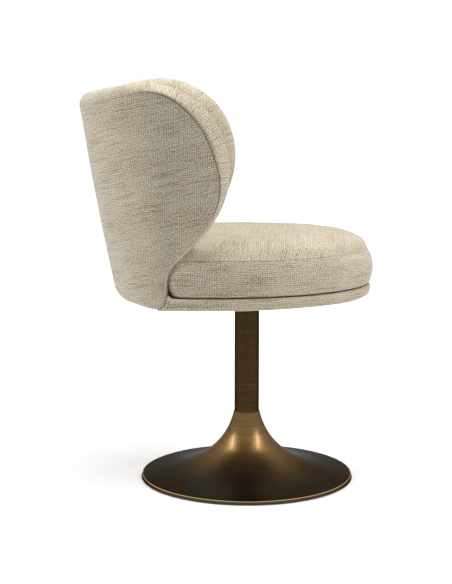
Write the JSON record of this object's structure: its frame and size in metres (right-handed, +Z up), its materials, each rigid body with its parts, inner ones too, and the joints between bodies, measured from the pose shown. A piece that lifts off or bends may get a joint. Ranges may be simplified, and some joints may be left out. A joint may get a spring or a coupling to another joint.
{
  "type": "swivel dining chair",
  "caption": "Upholstered swivel dining chair with a winged barrel back and a thick seat cushion, on a bronzed column with a trumpet-shaped round base.",
  "frame": {"origin": "on the floor, on the swivel axis, in the underside of the floor pad", "axes": "+Z up along the swivel axis, -Y the way a sitter faces, X across the seat"},
  "size_m": [0.5084, 0.5949, 0.817],
  "materials": {
    "chenille": "matte",
    "lining": "matte",
    "foam": "matte",
    "wadding": "matte",
    "bronzed_steel": "satin",
    "plain_steel": "satin",
    "cast_iron": "matte",
    "nylon": "matte",
    "plywood": "matte",
    "floor_pad": "matte"
  },
  "bodies": {
    "pedestal": {"floor_pad": "floor_pad", "base_plate": "plain_steel", "base_weight": "cast_iron", "trumpet_cover": "bronzed_steel", "column_tube": "bronzed_steel", "column_foot_plug": "plain_steel", "base_bolt": "plain_steel", "base_bolt_washer": "plain_steel", "bearing_housing": "plain_steel", "upper_bush": "nylon", "lower_bush": "nylon", "lower_race": "plain_steel"},
    "bearing_cage": {"ball_cage": "nylon", "bearing_balls": "plain_steel"},
    "seat": {"upper_race": "plain_steel", "dust_ring": "bronzed_steel", "spindle": "plain_steel", "spindle_washer": "plain_steel", "spindle_circlip": "plain_steel", "seat_plate": "plain_steel", "plate_bolts": "plain_steel", "plate_washers": "plain_steel", "tee_nuts": "plain_steel", "dust_cover": "lining", "seat_board": "plywood", "rail_foam": "foam", "rail_cover": "chenille", "cushion_foam": "foam", "cushion_top_panel": "chenille", "cushion_boxing": "chenille", "cushion_lining": "lining", "back_shell": "plywood", "back_wadding": "wadding", "back_foam": "foam", "back_inner_cover": "chenille", "back_outer_panel": "chenille", "back_screws": "plain_steel"}
  },
  "joints": [
    {"name": "swivel", "type": "hinge", "parent": "pedestal", "child": "seat", "pos_m": [0, 0, 0.38], "axis": [0, 0, 1], "continuous": true},
    {"name": "cage_spin", "type": "hinge", "parent": "pedestal", "child": "bearing_cage", "pos_m": [0, 0, 0.38], "axis": [0, 0, 1], "continuous": true}
  ],
  "couplings": [
    {"joint": "cage_spin", "follows": "swivel", "ratio": 0.5}
  ]
}
